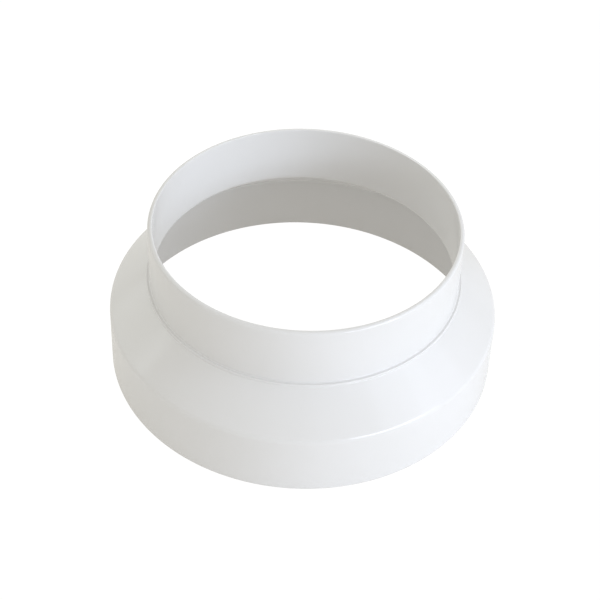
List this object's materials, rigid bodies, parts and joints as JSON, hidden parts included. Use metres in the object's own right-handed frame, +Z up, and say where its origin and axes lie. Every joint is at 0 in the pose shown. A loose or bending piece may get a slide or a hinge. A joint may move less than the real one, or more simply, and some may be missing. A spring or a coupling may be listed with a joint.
{
  "type": "duct reducer",
  "caption": "Round push-fit duct reducer: a wide collar that slides over a duct, a cone and a narrow plain spigot with a low stop ring at its root.",
  "frame": {"origin": "centre of the wide mouth, in the plane that the part stands on", "axes": "+Z up along the common axis to the narrow spigot; X and Y are alike, because the part is round"},
  "size_m": [0.1282, 0.1282, 0.0534],
  "materials": {
    "white_plastic": "semi-gloss white injection moulding"
  },
  "bodies": {
    "root": {"reducer_body": "white_plastic"}
  },
  "joints": []
}
